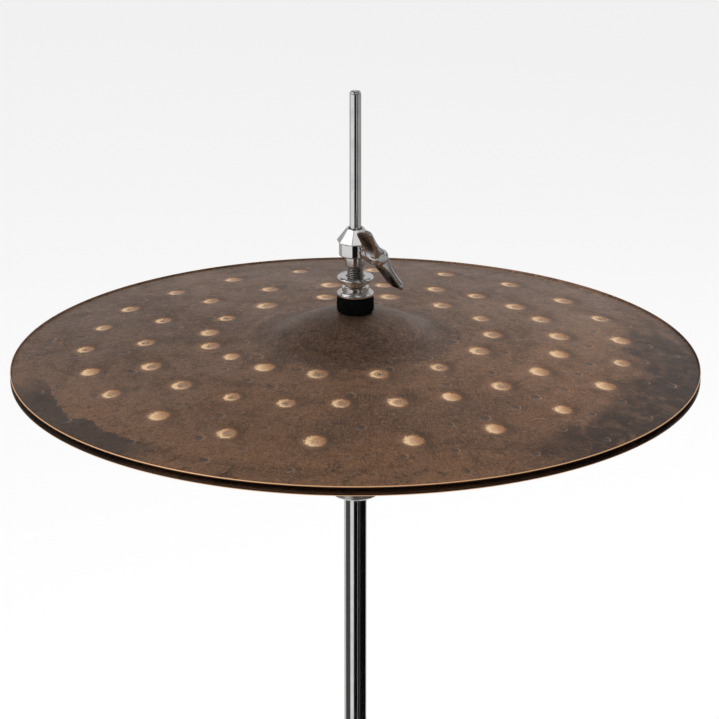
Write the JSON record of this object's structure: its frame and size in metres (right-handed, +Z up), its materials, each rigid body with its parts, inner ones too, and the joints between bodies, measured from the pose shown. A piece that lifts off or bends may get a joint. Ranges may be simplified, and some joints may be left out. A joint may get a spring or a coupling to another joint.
{
  "type": "hi hat",
  "caption": "Pair of hammered bronze hi-hat cymbals on a folding tripod stand with a foot pedal, sprung pull rod and clutch.",
  "frame": {"origin": "centre of the base plate's underside, on the floor below the tube", "axes": "+Z up along the tube, pedal towards -Y"},
  "size_m": [0.4936, 0.6008, 1.0155],
  "materials": {
    "bronze": "aged, hammered",
    "chrome": "polished",
    "nickel": "satin nickel plate",
    "cast": "cast, satin",
    "felt": "pressed wool felt",
    "nylon": "moulded",
    "rubber": "moulded"
  },
  "bodies": {
    "stand": {"base_plate": "nickel", "base_casting": "cast", "base_bolt_left": "nickel", "base_bolt_right": "nickel", "lower_tube": "chrome", "brace_collar": "cast", "brace_pin_1": "nickel", "brace_pin_2": "nickel", "brace_pin_3": "nickel", "heel_plate": "cast", "heel_hinge_pin": "nickel", "height_clamp": "cast", "clamp_bushing": "nylon", "spring_seat": "nickel", "return_spring": "nickel"},
    "tension_dial": {"tension_knob": "nylon"},
    "height_tube": {"upper_tube": "chrome", "tube_guide_bush": "nylon", "seat_cup": "nickel", "seat_felt": "felt", "seat_sleeve": "nylon"},
    "height_screw": {"height_wing_screw": "chrome"},
    "lower_hat": {"bottom_cymbal": "bronze"},
    "rod": {"pull_rod": "chrome", "lower_rod": "nickel", "rod_coupler": "nickel", "rod_clevis": "nickel", "clevis_pin": "nickel"},
    "pedal": {"footboard": "cast", "toe_bracket": "nickel"},
    "drive_link": {"drive_link_left": "nickel", "drive_link_right": "nickel", "toe_pin": "nickel"},
    "clutch": {"clutch_body": "chrome", "clutch_felt_upper": "felt", "clutch_felt_lower": "felt"},
    "clutch_screw": {"clutch_wing_screw": "chrome"},
    "upper_lock_nut": {"clutch_lock_nut_upper": "chrome"},
    "lower_lock_nut": {"clutch_lock_nut_lower": "chrome"},
    "bottom_nut": {"clutch_bottom_nut": "chrome"},
    "upper_hat": {"top_cymbal": "bronze"},
    "hub": {"leg_hub": "cast", "hub_pin_1": "nickel", "hub_pin_2": "nickel", "hub_pin_3": "nickel"},
    "hub_screw": {"hub_wing_screw": "chrome"},
    "tripod_leg_1": {"leg_1": "chrome", "foot_1": "rubber"},
    "tripod_brace_1": {"brace_1": "chrome", "leg_rivet_1": "nickel"},
    "tripod_leg_2": {"leg_2": "chrome", "foot_2": "rubber"},
    "tripod_brace_2": {"brace_2": "chrome", "leg_rivet_2": "nickel"},
    "tripod_leg_3": {"leg_3": "chrome", "foot_3": "rubber"},
    "tripod_brace_3": {"brace_3": "chrome", "leg_rivet_3": "nickel"}
  },
  "joints": [
    {"name": "tension_knob_turn", "type": "hinge", "parent": "stand", "child": "tension_dial", "pos_m": [0, 0, 0.155], "axis": [0, 0, 1], "continuous": true},
    {"name": "height_adjust", "type": "slide", "parent": "stand", "child": "height_tube", "axis": [0, 0, 1], "range_m": [-0.12, 0]},
    {"name": "height_screw_turn", "type": "hinge", "parent": "stand", "child": "height_screw", "pos_m": [0.03, 0, 0.553], "axis": [1, 0, 0], "continuous": true},
    {"name": "bottom_cymbal_spin", "type": "hinge", "parent": "height_tube", "child": "lower_hat", "pos_m": [0, 0, 0.857], "axis": [0, 0, 1], "continuous": true},
    {"name": "pull_rod_slide", "type": "slide", "parent": "stand", "child": "rod", "axis": [0, 0, 1], "range_m": [-0.0028, 0.026], "stiffness_N_per_m": 650, "springref_m": 0.02554, "deforming": ["return_spring"]},
    {"name": "pedal_hinge", "type": "hinge", "parent": "stand", "child": "pedal", "pos_m": [0, -0.262, 0.02], "axis": [1, 0, 0], "range_deg": [-0.8, 6.1]},
    {"name": "drive_link_swing", "type": "hinge", "parent": "rod", "child": "drive_link", "pos_m": [0, 0, 0.1], "axis": [1, 0, 0], "range_deg": [-12.9, 1.6]},
    {"name": "clutch_slide", "type": "slide", "parent": "rod", "child": "clutch", "axis": [0, 0, 1], "range_m": [0, 0.07]},
    {"name": "clutch_screw_turn", "type": "hinge", "parent": "clutch", "child": "clutch_screw", "pos_m": [0.00705, -0.00971, 0.9268], "axis": [0.5878, -0.809, 0], "continuous": true},
    {"name": "upper_lock_nut_turn", "type": "hinge", "parent": "clutch", "child": "upper_lock_nut", "pos_m": [0, 0, 0.909], "axis": [0, 0, 1], "continuous": true},
    {"name": "lower_lock_nut_turn", "type": "hinge", "parent": "clutch", "child": "lower_lock_nut", "pos_m": [0, 0, 0.9025], "axis": [0, 0, 1], "continuous": true},
    {"name": "bottom_nut_turn", "type": "hinge", "parent": "clutch", "child": "bottom_nut", "pos_m": [0, 0, 0.874], "axis": [0, 0, 1], "continuous": true},
    {"name": "top_cymbal_spin", "type": "hinge", "parent": "clutch", "child": "upper_hat", "pos_m": [0, 0, 0.86], "axis": [0, 0, 1], "continuous": true},
    {"name": "leg_hub_slide", "type": "slide", "parent": "stand", "child": "hub", "axis": [0, 0, 1], "range_m": [0, 0.076]},
    {"name": "hub_screw_turn", "type": "hinge", "parent": "hub", "child": "hub_screw", "pos_m": [0.02598, 0.015, 0.408], "axis": [0.866, 0.5, 0], "continuous": true},
    {"name": "leg_1_fold", "type": "hinge", "parent": "hub", "child": "tripod_leg_1", "pos_m": [0, 0.028, 0.4], "axis": [-1, 0, 0], "range_deg": [-0.1, 24.15]},
    {"name": "brace_1_fold", "type": "hinge", "parent": "stand", "child": "tripod_brace_1", "pos_m": [0, 0.026, 0.226], "axis": [1, 0, 0], "range_deg": [-0.1, 51.55]},
    {"name": "leg_2_fold", "type": "hinge", "parent": "hub", "child": "tripod_leg_2", "pos_m": [-0.02425, -0.014, 0.4], "axis": [0.5, -0.866, 0], "range_deg": [-0.1, 24.15]},
    {"name": "brace_2_fold", "type": "hinge", "parent": "stand", "child": "tripod_brace_2", "pos_m": [-0.02252, -0.013, 0.226], "axis": [-0.5, 0.866, 0], "range_deg": [-0.1, 51.55]},
    {"name": "leg_3_fold", "type": "hinge", "parent": "hub", "child": "tripod_leg_3", "pos_m": [0.02425, -0.014, 0.4], "axis": [0.5, 0.866, 0], "range_deg": [-0.1, 24.15]},
    {"name": "brace_3_fold", "type": "hinge", "parent": "stand", "child": "tripod_brace_3", "pos_m": [0.02252, -0.013, 0.226], "axis": [-0.5, -0.866, 0], "range_deg": [-0.1, 51.55]}
  ],
  "couplings": [
    {"joint": "pedal_hinge", "follows": "pull_rod_slide", "rad_per_m": 3.9689},
    {"joint": "drive_link_swing", "follows": "pull_rod_slide", "rad_per_m": -8.458},
    {"joint": "leg_1_fold", "follows": "leg_hub_slide", "rad_per_m": 5.5006},
    {"joint": "brace_1_fold", "follows": "leg_hub_slide", "rad_per_m": 11.792},
    {"joint": "leg_2_fold", "follows": "leg_hub_slide", "rad_per_m": 5.5006},
    {"joint": "brace_2_fold", "follows": "leg_hub_slide", "rad_per_m": 11.792},
    {"joint": "leg_3_fold", "follows": "leg_hub_slide", "rad_per_m": 5.5006},
    {"joint": "brace_3_fold", "follows": "leg_hub_slide", "rad_per_m": 11.792}
  ]
}
